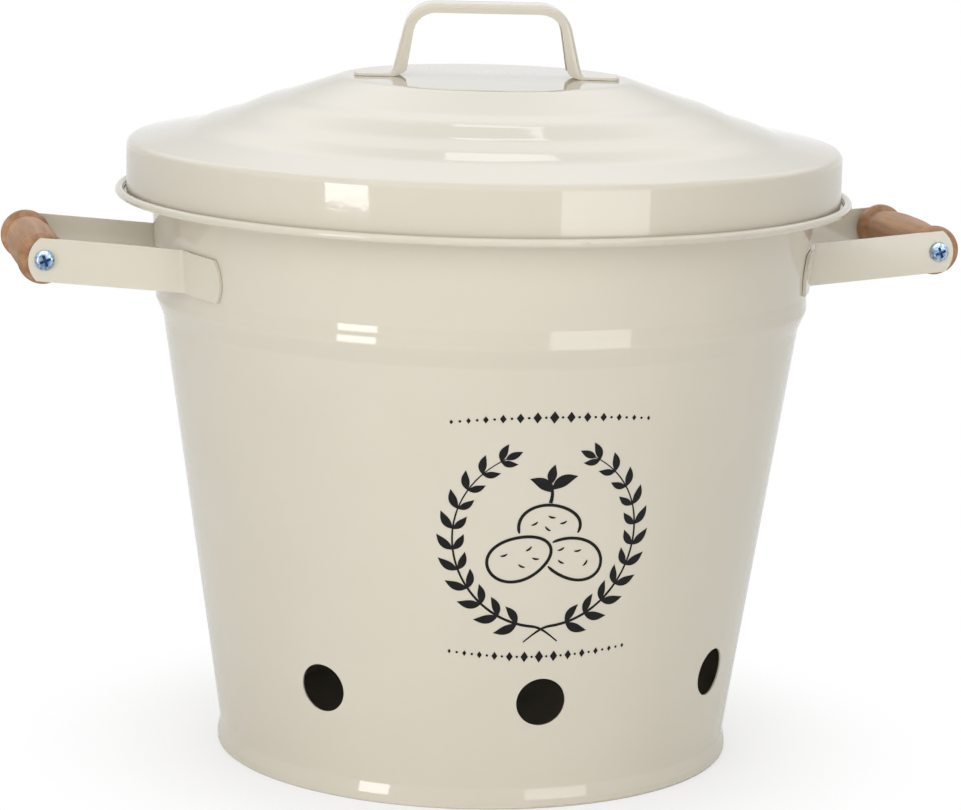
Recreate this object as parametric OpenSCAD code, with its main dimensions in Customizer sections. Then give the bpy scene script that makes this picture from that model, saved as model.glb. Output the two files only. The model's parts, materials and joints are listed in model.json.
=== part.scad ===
/* [Bin wall] */
// Outer radius of the cone where it rises from the foot
wall_foot_r = 105.6; // [100:0.1:105.8]
// Height at which the straight cone starts
wall_foot_z = 12; // [10:0.5:16]
// Outer radius of the cone at the foot of the shoulder
wall_top_r = 130.2; // [128:0.1:131.5]
// Height of the foot of the shoulder
shoulder_z = 179.5; // [150:0.5:182]
// Height from the foot of the shoulder to its crest
shoulder_rise = 7.5; // [6:0.5:10]
// How far the shoulder's crest stands out from the cone
shoulder_step = 3.2; // [1.6:0.1:3.6]
// How far the wall draws in again above the crest
shoulder_nip = 0.5; // [0.3:0.1:1]
// Height over which it draws in
nip_rise = 7.4; // [4:0.2:8]
// Height from the shoulder's crest to the middle of the rolled rim
band_h = 43; // [36:0.5:52]
// Outer radius of the upright band where it meets the ledge
band_top_r = 135.4; // [134:0.1:138]
// Thickness of the coated sheet
sheet_t = 0.7; // [0.5:0.1:0.9]

/* [Rim] */
// Outer radius of the rolled rim
rim_r = 150; // [146:0.5:156]
// Radius of the roll itself
roll_r = 1.65; // [1.5:0.05:2.2]

/* [Foot] */
// Outer radius of the foot bead
foot_r = 106.2; // [105.8:0.1:109]
// Height of the crest of the foot bead
foot_crest_z = 3.6; // [3:0.1:4.5]
// Height of the waist above the foot bead
waist_z = 8.2; // [7:0.1:9.5]
// How far the waist lies inside the foot bead
waist_step = 1; // [0.5:0.1:1.4]
// Height of the floor above the crest of the foot bead
floor_rise = 1.2; // [1:0.1:1.5]
// Radius inside which the floor is pressed up
panel_r = 88; // [60:1:95]
// Height of the pressed panel
panel_rise = 1.2; // [0.6:0.1:2]

/* [Vent holes] */
// Diameter of each vent hole
vent_d = 19.5; // [10:0.5:26]
// Height of the row of vent holes
vent_z = 44.5; // [35:0.5:80]
// Number of vent holes at the front, and again at the back
vent_count = 3; // [1:1:3]
// Angle between neighbouring vent holes
vent_pitch = 46.2; // [36:0.1:50]
// Angle by which the middle vent hole stands off the front
vent_shift = 1; // [-3:0.1:3]

/* [Seam] */
// Width of the folded upright seam
seam_w = 8; // [5:0.5:12]
// How far the seam stands proud of the wall
seam_t = 0.8; // [0.4:0.1:1.2]
// Direction of the seam, counted from +X
seam_angle = 112.5; // [108:0.5:117]

/* [Lid] */
// Gap between the lid's skirt and the rolled rim
lid_gap = 1.2; // [0.6:0.1:1.6]
// Height of the lid's skirt
skirt_h = 21.6; // [15:0.1:28]
// Radius at which the low slope beside the skirt ends
brim_r = 121; // [114:0.5:130]
// Rise of the low slope beside the skirt
brim_rise = 5.1; // [2:0.1:7]
// Radius of the almost flat crown
crown_r = 59; // [56:0.5:66]
// Height of the crown's edge above the skirt
crown_rise = 26.6; // [20:0.1:34]
// How far the middle of the crown stands above its edge
crown_dome = 0.4; // [0.1:0.1:2]
// How far in from the brim the pressed rings turn: crest, trough, crest, trough
ring_ins = [9, 19.5, 31.5, 40]; // [5:0.5:44]
// How far each of these turns stands above the straight slope
ring_hs = [0.35, -0.1, 0.85, 0.1]; // [-0.5:0.05:1.5]
// Angle by which the lid is turned in its seat
lid_turn = -11; // [-20:0.5:20]

/* [Lid handle] */
// Distance between the outer faces of the legs at the heels
heel_span = 77; // [68:0.2:80]
// Distance between the outer faces of the legs at the top
top_span = 63.2; // [56:0.2:66]
// Height of the handle above its feet
handle_h = 28.9; // [22:0.1:40]
// Width of the handle's strip
handle_w = 17; // [12:0.5:20]
// Depth of the top bar over its turned-in edges
bar_edge = 4.1; // [3:0.1:5]
// Depth of the legs over their turned-in edges, at the heels
heel_edge = 5.7; // [4:0.1:6.5]
// Thickness of the handle's sheet
handle_t = 1; // [0.8:0.1:1.2]
// Outer radius of the two top bends
handle_bend_r = 13; // [8:0.5:15]
// Radius of the bend between each leg and its foot
heel_r = 3.5; // [3:0.1:4.5]
// Length of each flat foot beyond its heel
foot_len = 15.2; // [12:0.1:18]
// How far the tip of each foot lifts off the crown
toe_lift = 0.3; // [0:0.05:0.6]

/* [Side handles] */
// Distance from the rolled rim out to each grip's axis
grip_out = 33.4; // [26:0.2:42]
// Height of the straps' lower edges above the shoulder's crest, at the wall
strap_clear = 8.8; // [7.8:0.2:10]
// Height of each strap
strap_h = 17; // [14:0.5:18]
// Thickness of each strap
strap_t = 1.3; // [1:0.1:1.8]
// Distance between the inner faces of a pair of straps
strap_gap = 76; // [68:1:84]
// Drop of a strap's middle line from the grip to the wall
strap_drop = 5.1; // [3:0.1:5.5]
// Radius of the bend beside the wall
strap_bend_r = 2.5; // [2:0.5:6]
// Length of the tab that lies along the wall
tab_len = 25.5; // [16:0.5:30]
// Length of strap beyond the screw
strap_nose = 6.3; // [5:0.1:8]

/* [Grips and screws] */
// Radius of the bead at each end of a grip
bead_r = 10.1; // [9:0.1:12]
// Length of each end bead
bead_w = 8.6; // [6:0.1:11]
// Radius of the groove between bead and barrel
groove_r = 7.9; // [6:0.1:8.6]
// Width of that groove
groove_w = 1.6; // [1:0.1:2.4]
// Length over which the barrel swells from the groove
swell_l = 8; // [5:0.5:12]
// Radius of the barrel at its middle
barrel_r = 9.6; // [8.8:0.1:11]
// Diameter of a screw's shank
screw_d = 3.8; // [3:0.1:4.5]
// Length of a screw in the wood
screw_l = 20; // [12:1:28]
// Diameter of a screw's head
head_d = 7.8; // [7:0.1:9]
// Height of a screw's head
head_h = 2.6; // [2:0.1:3.2]
// Play beside each strap, at the grip and under the screw's head
end_play = 0.15; // [0.1:0.05:0.3]

/* [Hidden] */

cream = [0.85, 0.82, 0.72];
beech = [0.72, 0.52, 0.40];
zinc = [0.72, 0.76, 0.82];

// Depth to which the rounded underside of the foot is worn flat
foot_flat = 0.12;

// Fits and small clearances
fold_fit = 0.1;
weld_gap = 0.15;
seat_gap = 0.02;
shank_play = 0.08;
pilot_fit = 0.05;

// Steps in each rounded corner of a profile, and round faces
corner_steps = 6;
$fn = 96;

// Vector helpers for profiles, which are lists of [radius, height]
function unit(v) = v / norm(v);
function left_of(v) = [-v[1], v[0]];
function cross2(a, b) = a[0] * b[1] - a[1] * b[0];
function flip(list) = [for (i = [len(list) - 1 : -1 : 0]) list[i]];

// The corner p1 between p0 and p2, rounded with radius r
function corner(p0, p1, p2, r) =
    let (
        d0 = unit(p1 - p0),
        d1 = unit(p2 - p1),
        turn = atan2(cross2(d0, d1), d0 * d1),
        side = sign(turn),
        start = p1 - d0 * r * tan(abs(turn) / 2),
        middle = start + left_of(d0) * side * r
    )
    r <= 0 || abs(turn) < 0.01
        ? [p1]
        : [for (i = [0 : corner_steps])
            let (a = turn * i / corner_steps, n = -left_of(d0) * side * r)
            middle + [n[0] * cos(a) - n[1] * sin(a), n[0] * sin(a) + n[1] * cos(a)]];

// A path through the points, with a radius at each inner corner
function rounded(points, radii) = [
    for (i = [0 : len(points) - 1])
        each i == 0 || i == len(points) - 1
            ? [points[i]]
            : corner(points[i - 1], points[i], points[i + 1], radii[i])
];

// The same corners moved t to the left of the path
function shifted(points, t) = [
    for (i = [0 : len(points) - 1])
        let (
            last = len(points) - 1,
            n0 = left_of(unit(points[max(i, 1)] - points[max(i, 1) - 1])),
            n1 = left_of(unit(points[min(i, last - 1) + 1] - points[min(i, last - 1)]))
        )
        points[i] + (n0 + n1) * t / (1 + n0 * n1)
];

// The corner radii that keep a shifted path parallel
function shifted_radii(points, radii, t) = [
    for (i = [0 : len(points) - 1])
        i == 0 || i == len(points) - 1 || radii[i] == 0
            ? 0
            : radii[i] - t * sign(cross2(points[i] - points[i - 1], points[i + 1] - points[i]))
];

// A bent sheet between t0 and t1 to the left of a path
module sheet(points, radii, t0, t1) {
    near = rounded(shifted(points, t0), shifted_radii(points, radii, t0));
    far = rounded(shifted(points, t1), shifted_radii(points, radii, t1));
    polygon(concat(near, flip(far)));
}

// Outer face of the wall, from the foot up to the rolled rim
fold_r = (3 * sheet_t + 2 * fold_fit) / 2;
fold_z = fold_r - foot_flat;
waist_r = foot_r - waist_step;
crest_r = wall_top_r + shoulder_step;
crest_z = shoulder_z + shoulder_rise;
nip_r = crest_r - shoulder_nip;
nip_z = crest_z + nip_rise;
rim_z = crest_z + band_h;
ledge_z = rim_z - roll_r;
roll_x = rim_r - roll_r;

// The shoulder's crest is pressed in two steps, with a shallow flute between
crest_end = [crest_r - 0.48 * shoulder_nip, crest_z + 0.39 * nip_rise];
flute_end = [crest_r - 0.6 * shoulder_nip, crest_z + 0.68 * nip_rise];

// Bend radii from the foot up
foot_bend_r = 4;
cone_bend_r = 6;
shoulder_bend_r = 5;
crest_bend_r = 3;
flute_bend_r = 10;
wall_path = [
    [foot_r, fold_z],
    [foot_r, foot_crest_z],
    [waist_r, waist_z],
    [wall_foot_r, wall_foot_z],
    [wall_top_r, shoulder_z],
    [crest_r, crest_z],
    crest_end,
    flute_end,
    [nip_r, nip_z],
    [band_top_r, ledge_z],
    [roll_x, ledge_z]
];
wall_radii = [
    0, foot_bend_r, foot_bend_r, cone_bend_r, shoulder_bend_r,
    crest_bend_r, flute_bend_r, flute_bend_r, crest_bend_r, crest_bend_r, 0
];

// Radius of the band's outer face at a height
function band_r(z) = nip_r + (band_top_r - nip_r) * (z - nip_z) / (ledge_z - nip_z);

// Radius of the cone's outer face at a height
function cone_r(z) =
    wall_foot_r + (wall_top_r - wall_foot_r) * (z - wall_foot_z) / (shoulder_z - wall_foot_z);

// The rolled rim, open towards the ledge on its inner side
roll_end = 215;
module rolled_rim() {
    reach = 2 * roll_r;
    translate([roll_x, rim_z])
        difference() {
            circle(r = roll_r);
            circle(r = roll_r - sheet_t);
            polygon([
                [0, 0],
                [reach * cos(roll_end), reach * sin(roll_end)],
                [-reach, -reach],
                [0, -reach]
            ]);
        }
}

// The fold under the foot that clasps the flange of the floor
floor_z = foot_crest_z + floor_rise;
fold_top = floor_z - sheet_t - 0.4;
module foot_fold() {
    translate([foot_r - fold_r, fold_z])
        difference() {
            circle(r = fold_r);
            circle(r = fold_r - sheet_t);
            translate([-2 * fold_r, 0]) square([4 * fold_r, 2 * fold_r]);
            translate([-2 * fold_r, -fold_z - fold_r]) square([4 * fold_r, fold_r]);
        }
    translate([foot_r - 2 * fold_r, fold_z]) square([sheet_t, fold_top - fold_z]);
}

// The folded seam stands on the cone and the band, short of both ends
seam_turn = 2 * asin(seam_w / 2 / wall_top_r);
seam_end = 4;
seam_path = [
    [cone_r(wall_foot_z + seam_end), wall_foot_z + seam_end],
    [wall_top_r, shoulder_z],
    [crest_r, crest_z],
    crest_end,
    flute_end,
    [nip_r, nip_z],
    [band_r(ledge_z - seam_end), ledge_z - seam_end]
];
seam_radii = [0, shoulder_bend_r, crest_bend_r, flute_bend_r, flute_bend_r, crest_bend_r, 0];

module bin_wall() {
    color(cream)
        difference() {
            union() {
                rotate_extrude()
                    union() {
                        sheet(wall_path, wall_radii, 0, sheet_t);
                        rolled_rim();
                        foot_fold();
                    }
                rotate([0, 0, seam_angle - seam_turn / 2])
                    rotate_extrude(angle = seam_turn)
                        sheet(seam_path, seam_radii, -seam_t, sheet_t / 2);
            }
            for (side = [-90, 90], i = [0 : vent_count - 1])
                rotate([0, 0, side + vent_shift + (i - (vent_count - 1) / 2) * vent_pitch])
                    translate([waist_r / 2, 0, vent_z])
                        rotate([0, 90, 0])
                            cylinder(h = waist_r, d = vent_d);
        }
}

// The floor is a pressed pan with its flange turned down into the fold
flange_r = foot_r - sheet_t - fold_fit;
floor_path = [
    [flange_r, fold_z],
    [flange_r, floor_z],
    [panel_r + 2 * panel_rise, floor_z],
    [panel_r, floor_z + panel_rise],
    [0, floor_z + panel_rise]
];
floor_radii = [0, 1.6, 2, 2, 0];

module bin_floor() {
    color(cream)
        rotate_extrude()
            sheet(floor_path, floor_radii, 0, sheet_t);
}

// Outer face of the lid, from the skirt's edge to the middle of the crown
seat_z = ledge_z + sheet_t + seat_gap;
skirt_r = rim_r - 2 * roll_r - lid_gap;
skirt_top = seat_z + skirt_h;
function slope_z(r) =
    skirt_top + brim_rise + (crown_rise - brim_rise) * (brim_r - r) / (brim_r - crown_r);
lid_path = concat(
    [[skirt_r, seat_z], [skirt_r, skirt_top], [brim_r, skirt_top + brim_rise]],
    [for (i = [0 : len(ring_ins) - 1])
        let (r = brim_r - ring_ins[i])
        [r, slope_z(r) + ring_hs[i]]],
    [[crown_r, skirt_top + crown_rise], [0, skirt_top + crown_rise + crown_dome]]
);
brim_bend_r = 40;
ring_bend_r = 40;
crown_bend_r = 14;
lid_radii = concat([0, 3, brim_bend_r], [for (r = ring_ins) ring_bend_r], [crown_bend_r, 0]);
hem_h = 5;

module lid_shell() {
    color(cream)
        rotate_extrude()
            union() {
                intersection() {
                    sheet(lid_path, lid_radii, 0, sheet_t);
                    square([rim_r, 2 * rim_z]);
                }
                translate([skirt_r - 2 * sheet_t, seat_z]) square([2 * sheet_t, sheet_t]);
                translate([skirt_r - 2 * sheet_t, seat_z]) square([sheet_t, hem_h]);
            }
}

// A closed skin over a row of rings that have the same number of points
module skin(rings) {
    n = len(rings[0]);
    last = n * (len(rings) - 1);
    polyhedron(
        points = [for (ring = rings) each ring],
        faces = concat(
            [[for (k = [0 : n - 1]) k]],
            [for (i = [0 : n : last - n], k = [0 : n - 1])
                each [
                    [i + k, i + n + k, i + n + (k + 1) % n],
                    [i + k, i + n + (k + 1) % n, i + (k + 1) % n]
                ]],
            [[for (k = [n - 1 : -1 : 0]) last + k]]
        )
    );
}

// The outer face of the handle, from foot to foot, in x and z
crown_slope = atan(crown_dome / crown_r);
foot_slope = crown_slope - atan(toe_lift / foot_len);
heel_x = heel_span / 2;
foot_z = skirt_top + crown_rise + (crown_r - heel_x) * tan(crown_slope) + weld_gap;
heel_z = foot_z + handle_t;
toe_x = heel_x + foot_len * cos(foot_slope);
toe_z = heel_z - foot_len * sin(foot_slope);
handle_path = [
    [-toe_x, toe_z],
    [-heel_x, heel_z],
    [-top_span / 2, heel_z + handle_h],
    [top_span / 2, heel_z + handle_h],
    [heel_x, heel_z],
    [toe_x, toe_z]
];
handle_radii = [0, heel_r, handle_bend_r, handle_bend_r, heel_r, 0];
outer_line = rounded(handle_path, handle_radii);
inner_line = rounded(
    shifted(handle_path, -bar_edge),
    shifted_radii(handle_path, handle_radii, -bar_edge)
);

// The turned-in edges fade out where a leg meets its foot
foot_lip = 0.05;
edge_fade = 1.6;
function edge_depth(z) =
    let (up = max(0, z - heel_z))
    min(
        handle_t + foot_lip + up * edge_fade,
        heel_edge + (bar_edge - heel_edge) * min(1, up / (handle_h - handle_bend_r))
    );

// Section of the strip: [depth from the outer face, place across it]
edge_round = 2;
function strip_half(e, w) =
    let (r = min(edge_round, 0.8 * e))
    concat(
        [for (a = [0 : 30 : 90]) [r - r * cos(a), w / 2 - r + r * sin(a)]],
        [[e, w / 2], [e, w / 2 - handle_t], [handle_t, w / 2 - handle_t]]
    );
function strip_section(e, w) =
    concat(strip_half(e, w), flip([for (p = strip_half(e, w)) [p[0], -p[1]]]));
function strip_ring(p, q, w) = [
    for (v = strip_section(edge_depth(p[1]), w))
        [p[0] + (q[0] - p[0]) * v[0] / bar_edge, v[1], p[1] + (q[1] - p[1]) * v[0] / bar_edge]
];

// The rounded end of a foot, from its full width to its tip
toe_r = 3;
function toe_ring(side, a) =
    let (
        back = toe_r * (1 - sin(a)),
        p = [side * (toe_x - back * cos(foot_slope)), toe_z + back * sin(foot_slope)],
        q = p - [side * sin(foot_slope), cos(foot_slope)] * bar_edge
    )
    strip_ring(p, q, handle_w - 2 * toe_r * (1 - cos(a)));

module lid_handle() {
    last = len(outer_line) - 1;
    color(cream)
        rotate([0, 0, lid_turn])
            skin(concat(
                [for (a = [80 : -20 : 0]) toe_ring(-1, a)],
                [for (i = [1 : last - 1]) strip_ring(outer_line[i], inner_line[i], handle_w)],
                [for (a = [0 : 20 : 80]) toe_ring(1, a)]
            ));
}

// Middle line of a strap: level at the wall, rising out to the grip
grip_x = rim_r + grip_out;
strap_y = strap_gap / 2 + strap_t / 2;
tab_z = crest_z + strap_clear + strap_h / 2;
grip_z = tab_z + strap_drop;
bend_x = sqrt(pow(band_r(tab_z), 2) - pow(strap_y, 2));
rise_rate = strap_drop / (grip_x - bend_x);
half_h = strap_h / 2 / cos(atan(rise_rate));
plate_len = 12;
plate_x = grip_x - plate_len;
function strap_z(x) = grip_z - (grip_x - x) * rise_rate;

// Radius of the middle of the tab at a height, just clear of the wall
function tab_r(z) = band_r(z) + weld_gap + strap_t / 2;

// Plan of a strap's middle line at height z, shifted outwards by t:
// straight to the bend, round the bend, then along the wall
function bend_middle(z) =
    let (far = tab_r(z) + strap_bend_r, y = strap_y + strap_bend_r)
    [sqrt(far * far - y * y), y];
function bend_turn(z) = 90 - atan2(bend_middle(z)[1], bend_middle(z)[0]);
function on_bend(z, part, t) =
    let (c = bend_middle(z), a = -90 - part * bend_turn(z), r = strap_bend_r - t)
    [c[0] + r * cos(a), c[1] + r * sin(a)];
function on_tab(z, along, t) =
    let (
        c = bend_middle(z),
        a = atan2(c[1], c[0]) + along / tab_r(z) * 180 / PI,
        r = tab_r(z) + t
    )
    [r * cos(a), r * sin(a)];

// Stations of the formed end: the bend, the tab and its rounded tip
bend_steps = 6;
tab_steps = 6;
tip_steps = 6;
tip_r = 14;
tip_start = asin(strap_h / 2 / tip_r);
tip_len = tip_r * (1 - cos(tip_start));
function tip_angle(i) = tip_start * (1 - 0.93 * i / tip_steps);
function station(x, z, half, part, along) =
    [for (e = [[1, 1], [-1, 1], [-1, -1], [1, -1]])
        let (
            h = z + e[0] * half,
            t = e[1] * strap_t / 2,
            p = part == undef
                ? [x, strap_y + t]
                : along == undef ? on_bend(h, part, t) : on_tab(h, along, t)
        )
        [p[0], p[1], h]];
formed_stations = concat(
    [station(plate_x, strap_z(plate_x), half_h)],
    [for (i = [0 : bend_steps])
        let (part = i / bend_steps, x = on_bend(tab_z, part, 0)[0])
        station(x, strap_z(x), half_h, part)],
    [for (i = [1 : tab_steps])
        let (along = i * (tab_len - tip_len) / tab_steps, x = on_tab(tab_z, along, 0)[0])
        station(x, strap_z(x), half_h, 1, along)],
    [for (i = [1 : tip_steps])
        let (
            a = tip_angle(i),
            along = tab_len - tip_len + tip_r * (cos(a) - cos(tip_start)),
            x = on_tab(tab_z, along, 0)[0]
        )
        station(x, strap_z(x), tip_r * sin(a), 1, along)]
);

// Side view of the flat plate that carries the screw
module plate_outline() {
    nose_r = 11;
    slope = atan(rise_rate);
    intersection() {
        polygon([
            [plate_x, strap_z(plate_x) - half_h],
            [grip_x + strap_h, strap_z(grip_x + strap_h) - half_h],
            [grip_x + strap_h, strap_z(grip_x + strap_h) + half_h],
            [plate_x, strap_z(plate_x) + half_h]
        ]);
        union() {
            translate([
                grip_x + (strap_nose - nose_r) * cos(slope),
                grip_z + (strap_nose - nose_r) * sin(slope)
            ])
                circle(r = nose_r);
            translate([plate_x - strap_h, grip_z - strap_h])
                square([grip_x - plate_x + strap_h - 2, 2 * strap_h]);
        }
    }
}

// The strap at +X and +Y, which mirror() carries to the other corners
module strap() {
    color(cream)
        union() {
            skin(formed_stations);
            translate([0, strap_y + strap_t / 2, 0])
                rotate([90, 0, 0])
                    linear_extrude(height = strap_t)
                        difference() {
                            plate_outline();
                            translate([grip_x, grip_z]) circle(d = screw_d + 2 * shank_play);
                        }
        }
}

// A turned grip along Y: bead, groove, barrel, groove and bead
grip_half = strap_gap / 2 - end_play;
neck = grip_half - bead_w;
grip_path = [
    [0, grip_half],
    [bead_r - 1, grip_half],
    [bead_r, neck + bead_w * 0.6],
    [bead_r, neck + bead_w * 0.35],
    [groove_r, neck],
    [groove_r, neck - groove_w],
    [groove_r + 0.6 * (barrel_r - groove_r), neck - swell_l],
    [barrel_r, neck * 0.3],
    [barrel_r, 0]
];
grip_radii = [0, 2, 3, 3, 1, 1, 12, 60, 0];

module grip(x) {
    half_outline = rounded(grip_path, grip_radii);
    color(beech)
        translate([x, 0, grip_z])
            rotate([90, 0, 0])
                difference() {
                    rotate_extrude()
                        polygon(concat(half_outline, flip([for (p = half_outline) [p[0], -p[1]]])));
                    for (s = [0, 1])
                        mirror([0, 0, s])
                            translate([0, 0, grip_half - screw_l])
                                cylinder(h = screw_l + 1, d = screw_d + 2 * pilot_fit);
                }
}

// A pan-head wood screw through one strap into the grip's end
recess_w = 1.1;
recess_l = 4.6;
recess_h = 1.4;
tip_l = 1.5;
head_y = strap_gap / 2 + strap_t + end_play;
module screw(x, side) {
    shank_l = head_y - grip_half + screw_l - 1;
    rim_h = head_h * 0.4;
    head_path = rounded(
        [[0, head_h], [head_d / 2 - 0.8, head_h - 0.5], [head_d / 2, rim_h], [head_d / 2, 0], [0, 0]],
        [0, 1.2, 0.4, 0.1, 0]
    );
    color(zinc)
        translate([x, side * head_y, grip_z])
            rotate([side * -90, 0, 0])
                difference() {
                    union() {
                        rotate_extrude() polygon(head_path);
                        translate([0, 0, tip_l - shank_l])
                            cylinder(h = shank_l - tip_l + 0.5, d = screw_d);
                        translate([0, 0, -shank_l])
                            cylinder(h = tip_l, d1 = screw_d * 0.4, d2 = screw_d);
                    }
                    for (a = [0, 90])
                        rotate([0, 0, a + 20])
                            translate([-recess_l / 2, -recess_w / 2, head_h - recess_h])
                                cube([recess_l, recess_w, head_h]);
                }
}

bin_wall();
bin_floor();
lid_shell();
lid_handle();
strap();  // strap_right_back
mirror([0, 1, 0]) strap();  // strap_right_front
mirror([1, 0, 0]) strap();  // strap_left_back
rotate([0, 0, 180]) strap();  // strap_left_front
grip(grip_x);  // grip_right
grip(-grip_x);  // grip_left
screw(grip_x, 1);  // screw_right_back
screw(grip_x, -1);  // screw_right_front
screw(-grip_x, 1);  // screw_left_back
screw(-grip_x, -1);  // screw_left_front
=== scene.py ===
"""Potato storage bin: looks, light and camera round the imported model. All sizes are in metres."""

import json
import math
from collections import namedtuple

import bpy
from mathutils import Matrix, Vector


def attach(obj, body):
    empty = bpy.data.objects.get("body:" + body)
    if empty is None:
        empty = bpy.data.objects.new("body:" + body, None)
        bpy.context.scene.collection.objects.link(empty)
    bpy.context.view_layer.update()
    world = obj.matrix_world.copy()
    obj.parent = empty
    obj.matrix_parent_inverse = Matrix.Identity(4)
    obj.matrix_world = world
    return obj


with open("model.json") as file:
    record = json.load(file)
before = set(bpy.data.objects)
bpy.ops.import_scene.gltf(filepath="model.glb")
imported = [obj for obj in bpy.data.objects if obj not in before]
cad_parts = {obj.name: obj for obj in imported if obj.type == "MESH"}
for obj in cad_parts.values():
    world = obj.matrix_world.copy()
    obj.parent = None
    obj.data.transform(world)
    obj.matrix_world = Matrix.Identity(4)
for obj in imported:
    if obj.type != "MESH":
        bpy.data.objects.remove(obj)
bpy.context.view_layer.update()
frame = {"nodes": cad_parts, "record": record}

MM = 0.001
WHITE = (1.0, 1.0, 1.0, 1.0)

# Camera

CAMERA_PLACE = (-0.32882, -1.41078, 0.41183)
CAMERA_TURN = (79.4253, -1.3491, -12.8998)
CAMERA_LENS_MM = 133.483
SENSOR_MM = 36.0
CAMERA_AZIMUTH = 13.12

camera_data = bpy.data.cameras.new("camera")
camera_data.sensor_width = SENSOR_MM
camera_data.lens = CAMERA_LENS_MM
camera_data.clip_end = 50.0
camera = bpy.data.objects.new("camera", camera_data)
camera.location = CAMERA_PLACE
camera.rotation_euler = [math.radians(a) for a in CAMERA_TURN]
bpy.context.scene.collection.objects.link(camera)
bpy.context.scene.camera = camera
bpy.context.scene.view_settings.view_transform = "Standard"

# Materials


def feed(tree, node, name, value):
    """Gives a node's socket a value, or a link where the value is another node's socket."""
    if isinstance(value, bpy.types.NodeSocket):
        tree.links.new(value, node.inputs[name])
    else:
        node.inputs[name].default_value = value


def joined(tree, operation, first, second):
    """One value made from two by a Math node."""
    node = tree.nodes.new("ShaderNodeMath")
    node.operation = operation
    tree.links.new(first, node.inputs[0])
    tree.links.new(second, node.inputs[1])
    return node.outputs["Value"]


def mapped(tree, value, low, high, start=0.0, end=1.0, smooth=True):
    """A value that runs from low to high while another runs from start to end."""
    node = tree.nodes.new("ShaderNodeMapRange")
    if smooth:
        node.interpolation_type = "SMOOTHSTEP"
    sockets = {"Value": value, "To Min": low, "To Max": high, "From Min": start, "From Max": end}
    for name, given in sockets.items():
        feed(tree, node, name, given)
    return node.outputs["Result"]


class Shader:
    """Builds one node material around a Principled BSDF, in the row frame's metres."""

    def __init__(self, name):
        self.material = bpy.data.materials.new(name)
        self.material.use_nodes = True
        self.nodes = self.material.node_tree.nodes
        self.links = self.material.node_tree.links
        self.surface = self.nodes["Principled BSDF"]
        self.place = self.add("ShaderNodeTexCoord").outputs["Object"]

    def add(self, kind, **sockets):
        node = self.nodes.new(kind)
        for name, value in sockets.items():
            feed(self.material.node_tree, node, name.replace("_", " "), value)
        return node

    def set(self, **sockets):
        for name, value in sockets.items():
            feed(self.material.node_tree, self.surface, name.replace("_", " "), value)

    def stretched(self, scale):
        return self.add("ShaderNodeMapping", Vector=self.place, Scale=scale).outputs["Vector"]

    def map(self, value, low, high, start=0.0, end=1.0):
        return mapped(self.material.node_tree, value, low, high, start, end, smooth=False)

    def noise(self, scale, detail=2.0, roughness=0.5, vector=None):
        node = self.add(
            "ShaderNodeTexNoise",
            Vector=vector or self.place,
            Scale=scale,
            Detail=detail,
            Roughness=roughness,
        )
        return node.outputs["Fac"]

    def ramp(self, factor, low, high, start=0.0, end=1.0):
        node = self.add("ShaderNodeValToRGB", Fac=factor)
        node.color_ramp.elements[0].position = start
        node.color_ramp.elements[1].position = end
        node.color_ramp.elements[0].color = low
        node.color_ramp.elements[1].color = high
        return node.outputs["Color"]

    def bump(self, height, distance, strength=1.0, normal=None):
        node = self.add("ShaderNodeBump", Height=height, Distance=distance, Strength=strength)
        if normal is not None:
            feed(self.material.node_tree, node, "Normal", normal)
        return node.outputs["Normal"]


def rgba(red, green, blue):
    return (red, green, blue, 1.0)


def cream_coat():
    """Glossy cream powder coat: slightly uneven sheet under it, and a fine orange peel in it."""
    s = Shader("cream_coat")
    tone = s.ramp(s.noise(14.0, 3.0), rgba(0.600, 0.557, 0.462), rgba(0.625, 0.582, 0.486), 0.3, 0.7)
    sheet = s.bump(s.noise(11.0, 1.0), 0.0004)
    ripple = s.bump(s.noise(70.0, 1.0), 0.000018, normal=sheet)
    peel = s.bump(s.noise(230.0, 2.0, 0.55), 0.000012, normal=ripple)
    s.set(Base_Color=tone, Normal=peel)
    s.set(Roughness=s.map(s.noise(60.0, 3.0), 0.03, 0.05))
    s.surface.inputs["IOR"].default_value = 1.5
    return s.material


def turned_wood():
    """Plain reddish timber, turned along Y, its grain and open pores streaked along Y."""
    s = Shader("turned_wood")
    grain = s.noise(1.0, 6.0, 0.6, s.stretched((240.0, 14.0, 240.0)))
    broad = s.noise(1.0, 3.0, 0.5, s.stretched((60.0, 5.0, 60.0)))
    pores = s.noise(1.0, 2.0, 0.7, s.stretched((1400.0, 90.0, 1400.0)))
    base = s.ramp(grain, rgba(0.26, 0.130, 0.062), rgba(0.50, 0.290, 0.160), 0.3, 0.7)
    mix = s.add("ShaderNodeMix")
    mix.data_type = "RGBA"
    mix.blend_type = "MULTIPLY"
    s.links.new(base, mix.inputs["A"])
    s.links.new(s.ramp(broad, rgba(0.82, 0.80, 0.78), WHITE, 0.35, 0.65), mix.inputs["B"])
    mix.inputs["Factor"].default_value = 1.0
    s.set(Base_Color=mix.outputs["Result"], Roughness=s.map(grain, 0.48, 0.66))
    s.set(Normal=s.bump(pores, 0.00012))
    s.surface.inputs["Specular IOR Level"].default_value = 0.25
    return s.material


# Painted shade: the screw heads are painted dark in and round their cross recess, where shade falls
# Distances along Y from the middle: the bottom and the mouth of the recess in a screw's head
RECESS_FLOOR = 0.0407
RECESS_MOUTH = 0.0416
# A right-hand screw's axis, and the distance from it to the ends of the recess
SCREW_AXIS = (0.1834, 0.0, 0.2094)
RECESS_REACH = 0.0023
RECESS_BLUR = 0.0002
# How dark the painted shade round the recess is, and the distances from the axis between which it fades
RECESS_SHADE_DEPTH = 0.55
RECESS_SHADE_FROM = 0.0013
RECESS_SHADE_TO = 0.0028


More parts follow.
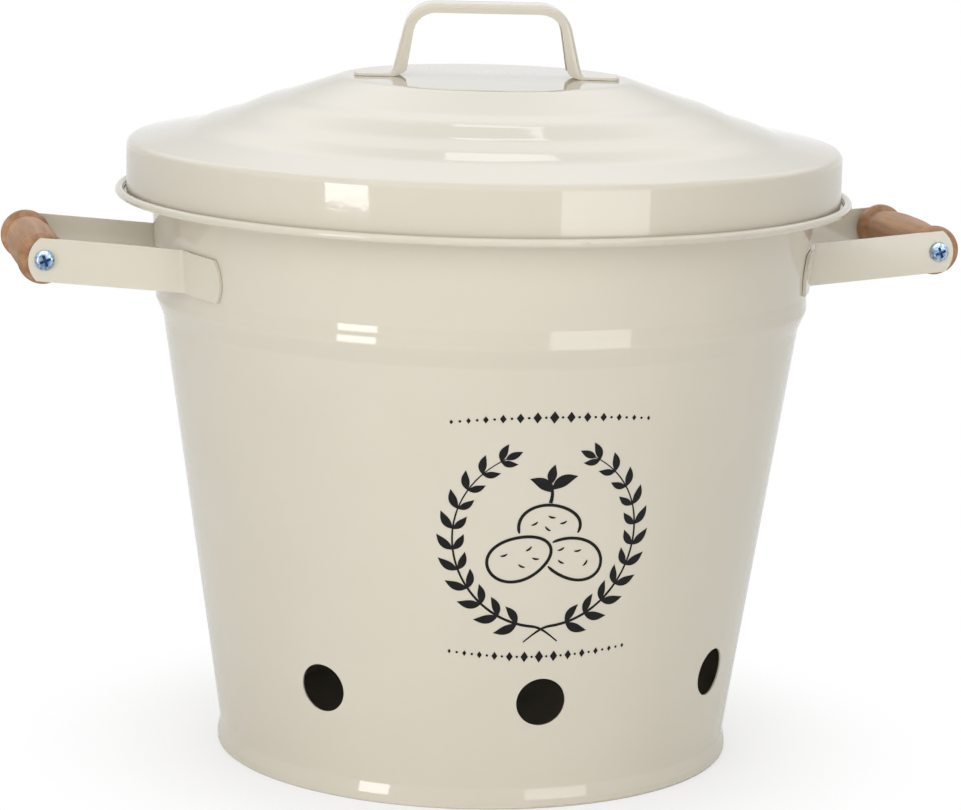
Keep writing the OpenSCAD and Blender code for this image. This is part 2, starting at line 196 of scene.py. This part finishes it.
def zinc_screw():
    """Bright zinc plate with a blue cast, with painted shade: dark navy down in the recess and darker
    round it.
    """
    s = Shader("zinc_screw")
    tone = s.ramp(s.noise(900.0, 3.0), rgba(0.16, 0.28, 0.45), rgba(0.55, 0.66, 0.80), 0.38, 0.62)
    folded = s.add("ShaderNodeVectorMath", Vector=s.place)
    folded.operation = "ABSOLUTE"
    parts = s.add("ShaderNodeSeparateXYZ", Vector=folded.outputs["Vector"])
    # Painted shade: dark navy down in the recess, and a darker ring of the head round it
    deep = s.map(parts.outputs["Y"], 1.0, 0.0, RECESS_FLOOR, RECESS_MOUTH)
    flat = s.add("ShaderNodeCombineXYZ", X=parts.outputs["X"], Z=parts.outputs["Z"])
    off_axis = s.add("ShaderNodeVectorMath", Vector=flat.outputs["Vector"])
    off_axis.operation = "DISTANCE"
    off_axis.inputs[1].default_value = SCREW_AXIS
    near = s.map(off_axis.outputs["Value"], 1.0, 0.0, RECESS_REACH, RECESS_REACH + RECESS_BLUR)
    painted_recess_shade = s.map(off_axis.outputs["Value"], RECESS_SHADE_DEPTH, 0.0, RECESS_SHADE_FROM, RECESS_SHADE_TO)
    tree = s.material.node_tree
    dark = joined(tree, "MAXIMUM", joined(tree, "MULTIPLY", deep, near), painted_recess_shade)
    mix = s.add("ShaderNodeMix")
    mix.data_type = "RGBA"
    s.links.new(dark, mix.inputs["Factor"])
    s.links.new(tone, mix.inputs["A"])
    mix.inputs["B"].default_value = rgba(0.03, 0.07, 0.16)
    s.set(Base_Color=mix.outputs["Result"], Roughness=s.map(s.noise(2500.0), 0.24, 0.4))
    s.set(Normal=s.bump(s.noise(3000.0), 0.00002))
    s.surface.inputs["Metallic"].default_value = 1.0
    return s.material


FINISHES = {"cream_coat": cream_coat(), "turned_wood": turned_wood(), "zinc_screw": zinc_screw()}

for part in frame["record"]["subparts"]:
    materials = frame["nodes"][part["node"]].data.materials
    materials.clear()
    materials.append(FINISHES[part["material_slot"]])

# Printed ornament on the front of the wall, drawn in millimetres

# Height of the drawing's middle
PRINT_Z = 112.0
# Radius and height of the wall's cone at its two ends, and the cosine of its slope
CONE_FOOT = (105.6, 12.0)
CONE_TOP = (130.2, 179.5)
CONE_COS = math.cos(math.atan2(CONE_TOP[0] - CONE_FOOT[0], CONE_TOP[1] - CONE_FOOT[1]))
# How far the ink reaches over and under the wall's surface
INK_OVER = 0.05
INK_UNDER = 0.15
# Width at the tip of a stroke
TIP_W = 0.06
PETAL_STEPS = 10
DOT_CORNERS = 16


def cone_radius(z):
    """The wall's radius at a height."""
    share = (z - CONE_FOOT[1]) / (CONE_TOP[1] - CONE_FOOT[1])
    return CONE_FOOT[0] + share * (CONE_TOP[0] - CONE_FOOT[0])


def on_wall(x, y, lift):
    """A point of the flat drawing, in millimetres from its middle, laid on the cone of the wall."""
    z = PRINT_Z + y * CONE_COS
    angle = x / cone_radius(PRINT_Z)
    reach = cone_radius(z) + lift
    return Vector((reach * math.sin(angle), -reach * math.cos(angle), z)) * MM


def polar(radius, degrees):
    """A flat point at a distance and an angle from the middle."""
    angle = math.radians(degrees)
    return Vector((radius * math.cos(angle), radius * math.sin(angle)))


class Ink:
    """Flat strips of ink, drawn in millimetres and laid on the wall as one thin closed layer."""

    def __init__(self):
        self.points = []
        self.faces = []

    def strip(self, left, right, ring=False):
        """A strip between two rails of points, closed on itself where ring is true."""
        first = len(self.points)
        count = len(left)
        for a, b in zip(left, right):
            for lift in (INK_OVER, -INK_UNDER):
                self.points += [on_wall(a[0], a[1], lift), on_wall(b[0], b[1], lift)]
        for i in range(count if ring else count - 1):
            p = first + 4 * i
            q = first + 4 * ((i + 1) % count)
            self.faces += [
                (p, p + 1, q + 1, q),
                (p + 2, q + 2, q + 3, p + 3),
                (p, q, q + 2, p + 2),
                (p + 1, p + 3, q + 3, q + 1),
            ]
        if not ring:
            end = first + 4 * (count - 1)
            self.faces += [
                (first, first + 2, first + 3, first + 1),
                (end, end + 1, end + 3, end + 2),
            ]

    def stroke(self, line, widths, ring=False):
        """A pen stroke along a line of points, with a width at each of them."""
        left, right = [], []
        count = len(line)
        for i in range(count):
            before = line[(i - 1) % count] if ring else line[max(i - 1, 0)]
            after = line[(i + 1) % count] if ring else line[min(i + 1, count - 1)]
            along = (after - before).normalized()
            aside = Vector((-along.y, along.x)) * widths[i] / 2
            left.append(line[i] + aside)
            right.append(line[i] - aside)
        self.strip(left, right, ring)

    def petal(self, root, degrees, length, width, bow=0.0, fullest=0.45):
        """A leaf or a petal from its root to its tip, bowed sideways by a share of its length."""
        along = polar(1.0, degrees)
        aside = Vector((-along.y, along.x))
        line, widths = [], []
        for i in range(PETAL_STEPS + 1):
            t = i / PETAL_STEPS
            line.append(root + along * length * t + aside * bow * length * math.sin(math.pi * t))
            shape = math.sin(math.pi * t ** (math.log(0.5) / math.log(fullest)))
            widths.append(max(TIP_W, width * shape))
        self.stroke(line, widths)

    def blot(self, middle, width, height=None, corners=None):
        """A dot, or a diamond where corners is 4."""
        height = height or width
        steps = corners or DOT_CORNERS
        half = steps // 2
        upper = [polar(1.0, 360.0 * i / steps) for i in range(half + 1)]
        size = Vector((width / 2, height / 2))
        left = [middle + v * size for v in upper]
        right = [middle + Vector((v.x, -v.y)) * size for v in upper]
        nudge = Vector((0.0, TIP_W / 2))
        for i in (0, half):
            left[i] = left[i] + nudge
            right[i] = right[i] - nudge
        self.strip(left, right)

    def finish(self, name):
        """All the strips as one named piece."""
        mesh = bpy.data.meshes.new(name)
        mesh.from_pydata(self.points, [], self.faces)
        mesh.validate()
        piece = bpy.data.objects.new(name, mesh)
        bpy.context.scene.collection.objects.link(piece)
        return piece


def ornament_ink():
    """Black screen print, a little less glossy than the coat, with a fine uneven edge to its tone."""
    s = Shader("ornament_ink")
    tone = s.ramp(s.noise(400.0, 4.0), rgba(0.004, 0.004, 0.004), rgba(0.009, 0.008, 0.008), 0.3, 0.7)
    s.set(Base_Color=tone, Roughness=s.map(s.noise(900.0, 2.0), 0.28, 0.42))
    s.surface.inputs["Specular IOR Level"].default_value = 0.2
    s.set(Normal=s.bump(s.noise(1500.0, 2.0), 0.000008))
    return s.material


ink = Ink()

# Wreath of two leafy branches: its radius, and the angles at which each branch starts and ends
WREATH_R = 36.5
BRANCH_FROM = -84.0
BRANCH_TO = 62.0
BRANCH_STEPS = 40
BRANCH_W = 1.15
TAIL_STEPS = 8
# Pairs of leaves: length and widths of the lowest pair, and how far they lean from the branch
LEAF_PAIRS = 11
LEAF_L = 10.2
OUTER_LEAF_W = 3.7
INNER_LEAF_W = 3.3
OUTER_LEAN = -38.0
INNER_LEAN = 40.0
LEAF_BOW = 0.07
BERRY_W = 1.5
for side in (-1, 1):

    def sided(radius, degrees):
        point = polar(radius, degrees)
        return Vector((side * point.x, point.y))

    def sided_angle(degrees):
        return degrees if side > 0 else 180.0 - degrees

    line = [
        sided(WREATH_R, BRANCH_FROM + (BRANCH_TO - BRANCH_FROM) * i / BRANCH_STEPS)
        for i in range(BRANCH_STEPS + 1)
    ]
    ink.stroke(line, [BRANCH_W - 0.75 * i / BRANCH_STEPS for i in range(BRANCH_STEPS + 1)])
    tail = [sided(WREATH_R + 0.14 * i * i, BRANCH_FROM - 2.2 * i) for i in range(TAIL_STEPS)]
    ink.stroke(tail, [BRANCH_W - 0.08 * i for i in range(TAIL_STEPS)])
    for i in range(LEAF_PAIRS):
        t = i / (LEAF_PAIRS - 1)
        place = BRANCH_FROM + 10.0 + (BRANCH_TO - BRANCH_FROM - 13.0) * t
        root = sided(WREATH_R, place)
        length = LEAF_L - 2.6 * t
        ahead = place + 90.0
        outer, inner = sided_angle(ahead + OUTER_LEAN), sided_angle(ahead + INNER_LEAN)
        ink.petal(root, outer, length, OUTER_LEAF_W - 0.7 * t, -LEAF_BOW * side)
        ink.petal(root, inner, length * 0.86, INNER_LEAF_W - 0.6 * t, LEAF_BOW * side)
        if i < LEAF_PAIRS - 1:
            ink.blot(sided(WREATH_R + 4.6 - 0.8 * t, place + 6.4), BERRY_W)
    ink.petal(line[-1], sided_angle(BRANCH_TO + 92.0), 7.0, 2.9)

# Heap of three potatoes inside the wreath, the front ones over the back one
Potato = namedtuple("Potato", "middle half_l half_h tilt phase eyes")
# An eye is its place from the potato's middle, and its lean in degrees
POTATOES = [
    Potato(
        Vector((-10.6, -8.2)), 12.6, 8.9, 14.0, 0.4,
        [(-5.2, 2.6, 20.0), (0.4, -3.4, -25.0), (4.8, 2.8, 40.0), (6.4, -1.8, -10.0)],
    ),
    Potato(
        Vector((11.4, -8.8)), 12.0, 8.5, -16.0, 2.1,
        [(-4.6, -2.6, -30.0), (0.6, 3.4, 10.0), (5.6, -0.6, 55.0), (-6.2, 2.4, 25.0)],
    ),
    Potato(
        Vector((0.6, 4.6)), 12.4, 8.8, 5.0, 4.0,
        [(-5.4, 1.8, 30.0), (1.2, 3.8, -15.0), (5.8, 1.0, 20.0), (-0.6, -0.8, -40.0)],
    ),
]
OUTLINE_W = 1.25
OUTLINE_STEPS = 72
# Gap between a potato in front and the outline behind it
OUTLINE_GAP = 1.5
# Places along an eye's dash, and the dash's width at each of them
EYE_PLACES = (-1.5, -0.8, 0.0, 0.8, 1.5)
EYE_WIDTHS = (0.25, 0.7, 0.85, 0.7, 0.25)


def on_potato(potato, x, y):
    """A point given along and across a tilted potato."""
    turn = math.radians(potato.tilt)
    across = x * math.cos(turn) - y * math.sin(turn)
    return potato.middle + Vector((across, x * math.sin(turn) + y * math.cos(turn)))


def outline(potato, grow=0.0):
    """The lumpy outline of a potato, as a closed loop of points."""
    points = []
    for i in range(OUTLINE_STEPS):
        a = math.tau * i / OUTLINE_STEPS
        lump = 1.0 + 0.035 * math.sin(2 * a + potato.phase) + 0.03 * math.sin(3 * a + 2.0 * potato.phase)
        x = (potato.half_l * lump + grow) * math.cos(a)
        y = (potato.half_h * lump + grow) * math.sin(a)
        points.append(on_potato(potato, x, y))
    return points


def inside(point, loop):
    """True where a point lies inside a closed loop."""
    hit = False
    for i in range(len(loop)):
        a, b = loop[i - 1], loop[i]
        if (a.y > point.y) != (b.y > point.y):
            if point.x < a.x + (b.x - a.x) * (point.y - a.y) / (b.y - a.y):
                hit = not hit
    return hit


for index, potato in enumerate(POTATOES):
    covers = [outline(other, OUTLINE_GAP) for other in POTATOES[:index]]
    loop = outline(potato)
    shown = [not any(inside(p, cover) for cover in covers) for p in loop]
    if all(shown):
        ink.stroke(loop, [OUTLINE_W] * len(loop), ring=True)
    else:
        start = next(i for i in range(len(loop)) if shown[i] and not shown[i - 1])
        run = []
        for i in range(start, start + len(loop) + 1):
            k = i % len(loop)
            if shown[k] and i < start + len(loop):
                run.append(loop[k])
            elif run:
                if len(run) > 2:
                    last = len(run) - 1
                    taper = [min(1.0, 0.45 + 0.3 * min(j, last - j)) for j in range(last + 1)]
                    ink.stroke(run, [OUTLINE_W * share for share in taper])
                run = []
    for x, y, lean in potato.eyes:
        at = on_potato(potato, x, y)
        if not any(inside(at, cover) for cover in covers):
            ink.stroke([at + polar(t, lean + 9.0 * t) for t in EYE_PLACES], EYE_WIDTHS)

# Sprout with three leaves above the heap
STEM_STEPS = 8
STEM_W = 1.5
stem = [Vector((0.6 + 0.5 * math.sin(0.5 * i), 14.4 + 1.1 * i)) for i in range(STEM_STEPS)]
ink.stroke(stem, [STEM_W - 0.08 * i for i in range(STEM_STEPS)])
ink.petal(stem[5], 28.0, 11.0, 4.6, 0.10)
ink.petal(stem[4], 148.0, 10.4, 4.4, -0.10)
ink.petal(stem[7], 82.0, 8.0, 3.6, 0.05)

# Graded rows of diamonds above and below the wreath, bowed toward it at the ends, with dots between
ROW_Y = 49.0
ROW_BOW = 0.06
ROW_PITCH = 6.2
ROW_HALF = 6
DIAMOND_SIZE = 4.4
DOT_W = 1.0
for side in (-1, 1):

    def in_row(i):
        return Vector((ROW_PITCH * i, side * (ROW_Y - ROW_BOW * i ** 2)))

    for i in range(-ROW_HALF, ROW_HALF + 1):
        size = DIAMOND_SIZE - 0.46 * abs(i)
        ink.blot(in_row(i), size * 0.8, size * 1.15, 4)
        if i < ROW_HALF:
            ink.blot(in_row(i + 0.5), DOT_W)

ornament = ink.finish("front_ornament")
ornament.data.materials.append(ornament_ink())
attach(ornament, "bin")

# Lamps


def from_camera(azimuth, distance, height):
    """A point round the object: azimuth in degrees to the right of the camera's own."""
    angle = math.radians(CAMERA_AZIMUTH - azimuth)
    return Vector((-math.sin(angle) * distance, -math.cos(angle) * distance, height))


def soft_box(name, place, width, height, watts, target):
    """A rectangular lamp that faces a target."""
    lamp = bpy.data.lights.new(name, "AREA")
    lamp.shape = "RECTANGLE"
    lamp.size = width
    lamp.size_y = height
    lamp.energy = watts
    holder = bpy.data.objects.new(name, lamp)
    holder.location = place
    holder.rotation_euler = (Vector(target) - place).to_track_quat("-Z", "Y").to_euler()
    bpy.context.scene.collection.objects.link(holder)
    return holder


MIDDLE = (0.0, 0.0, 0.15)

# The boxes that the coat mirrors: place, width, height, watts, target
BOXES = {
    "left_box": (from_camera(-41.0, 1.6, 0.298), 0.39, 0.50, 5.0, (0.0, 0.0, 0.298)),
    "right_box": (from_camera(36.9, 1.6, 0.30), 0.79, 0.60, 4.1, (0.0, 0.0, 0.30)),
    "streak_box": (from_camera(177.6, 1.3, 1.88), 0.38, 0.14, 0.26, MIDDLE),
    "top_box": (from_camera(180.0, 0.15, 2.0), 1.6, 1.6, 5.4, MIDDLE),
}
for name, values in BOXES.items():
    soft_box(name, *values)

# Lights from the front and the back, which only light the object and aren't mirrored in it
FILLS = {
    "front_fill": (from_camera(-7.0, 1.5, 1.0), 1.2, 0.8, 7.2, MIDDLE),
    "back_fill": (from_camera(180.0, 1.5, 0.9), 1.2, 0.8, 6.0, MIDDLE),
}
for name, values in FILLS.items():
    fill = soft_box(name, *values)
    fill.visible_glossy = False
    fill.visible_camera = False

# World and floor

# Strengths of the even light, of the white behind the object, of the backdrop at the sides and
# behind the camera, and of what the coat mirrors overhead, on top of the backdrop
AMBIENT = 0.52
BACKDROP = 1.0
FAR_SHADE = 0.72
SKY = 1.45
# How far up a direction has to point for the overhead light: for none of it, and for all of it
OVERHEAD = (0.2, 0.65)
# How far a direction has to point toward the camera for the backdrop's darker side, as above
BACKDROP_TURN = (-0.92, -0.3)
# The same on the floor near the object, in metres toward the camera
NEAR_TURN = (0.2, 0.55)
# Distances from the object between which the floor takes on the backdrop's brightness, and
# between which its glow takes over for the camera and for mirrored rays
BACKDROP_REACH = (0.5, 2.0)
SEEN_REACH = (0.08, 0.2)
MIRRORED_REACH = (1.0, 3.0)
# The glow's least share of what the camera sees, which leaves the object its shadow
LEAST_GLOW = 0.5

MIRRORED = ("Is Glossy Ray", "Is Transmission Ray")


def ray_mask(tree, *kinds):
    """1 for the named kinds of ray, and else 0."""
    ray = tree.nodes.new("ShaderNodeLightPath")
    value = ray.outputs[kinds[0]]
    for kind in kinds[1:]:
        value = joined(tree, "MAXIMUM", value, ray.outputs[kind])
    return value


def toward_camera(tree, direction, start, end):
    """The backdrop's brightness: full behind the object, lower at the sides and behind the camera."""
    along = tree.nodes.new("ShaderNodeVectorMath")
    along.operation = "DOT_PRODUCT"
    tree.links.new(direction, along.inputs[0])
    along.inputs[1].default_value = from_camera(0.0, 1.0, 0.0)
    return mapped(tree, along.outputs["Value"], BACKDROP, FAR_SHADE, start, end)


world = bpy.data.worlds.new("world")
bpy.context.scene.world = world
world.use_nodes = True
sky = world.node_tree
ambient = sky.nodes["Background"]
ambient.inputs["Color"].default_value = WHITE
ambient.inputs["Strength"].default_value = AMBIENT
white = sky.nodes.new("ShaderNodeBackground")
white.inputs["Color"].default_value = WHITE
direction = sky.nodes.new("ShaderNodeTexCoord").outputs["Generated"]
upward = sky.nodes.new("ShaderNodeSeparateXYZ")
sky.links.new(direction, upward.inputs[0])
overhead = mapped(sky, upward.outputs["Z"], 0.0, SKY, *OVERHEAD)
lift = joined(sky, "MULTIPLY", overhead, ray_mask(sky, *MIRRORED))
level = joined(sky, "ADD", lift, toward_camera(sky, direction, *BACKDROP_TURN))
sky.links.new(level, white.inputs["Strength"])
choose = sky.nodes.new("ShaderNodeMixShader")
sky.links.new(ray_mask(sky, "Is Camera Ray", *MIRRORED), choose.inputs["Fac"])
sky.links.new(ambient.outputs["Background"], choose.inputs[1])
sky.links.new(white.outputs["Background"], choose.inputs[2])
sky.links.new(choose.outputs["Shader"], sky.nodes["World Output"].inputs["Surface"])

FLOOR_R = 4.0
FLOOR_CORNERS = 96
floor_data = bpy.data.meshes.new("floor")
ring = [polar(FLOOR_R, 360.0 * i / FLOOR_CORNERS).to_3d() for i in range(FLOOR_CORNERS)]
floor_data.from_pydata(ring, [], [list(range(FLOOR_CORNERS))])
floor = bpy.data.objects.new("floor", floor_data)
bpy.context.scene.collection.objects.link(floor)

material = bpy.data.materials.new("paper")
material.use_nodes = True
paper = material.node_tree
surface = paper.nodes["Principled BSDF"]
surface.inputs["Base Color"].default_value = rgba(0.9, 0.9, 0.9)
surface.inputs["Roughness"].default_value = 0.9
glow = paper.nodes.new("ShaderNodeEmission")
glow.inputs["Color"].default_value = WHITE
place = paper.nodes.new("ShaderNodeNewGeometry").outputs["Position"]
reach = paper.nodes.new("ShaderNodeVectorMath")
reach.operation = "LENGTH"
paper.links.new(place, reach.inputs[0])
outward = paper.nodes.new("ShaderNodeVectorMath")
outward.operation = "NORMALIZE"
paper.links.new(place, outward.inputs[0])


def faded(low, start, end):
    """A share that rises from low to 1 between two distances from the object."""
    return mapped(paper, reach.outputs["Value"], low, 1.0, start, end)


# Far out the floor is as bright as the backdrop in that direction, and near the object it is white,
# but for the camera's side, which is only seen from behind
far = toward_camera(paper, outward.outputs["Vector"], *BACKDROP_TURN)
level = mapped(paper, faded(0.0, *BACKDROP_REACH), 1.0, far, smooth=False)
near = toward_camera(paper, place, *NEAR_TURN)
paper.links.new(joined(paper, "MINIMUM", near, level), glow.inputs["Strength"])
# The glow gives way to the lit paper near the object, so that its shadow shows
seen = joined(paper, "MULTIPLY", faded(LEAST_GLOW, *SEEN_REACH), ray_mask(paper, "Is Camera Ray"))
mirrored = joined(paper, "MULTIPLY", faded(0.0, *MIRRORED_REACH), ray_mask(paper, *MIRRORED))
mix = paper.nodes.new("ShaderNodeMixShader")
paper.links.new(joined(paper, "ADD", seen, mirrored), mix.inputs["Fac"])
paper.links.new(surface.outputs["BSDF"], mix.inputs[1])
paper.links.new(glow.outputs["Emission"], mix.inputs[2])
paper.links.new(mix.outputs["Shader"], paper.nodes["Material Output"].inputs["Surface"])
floor_data.materials.append(material)
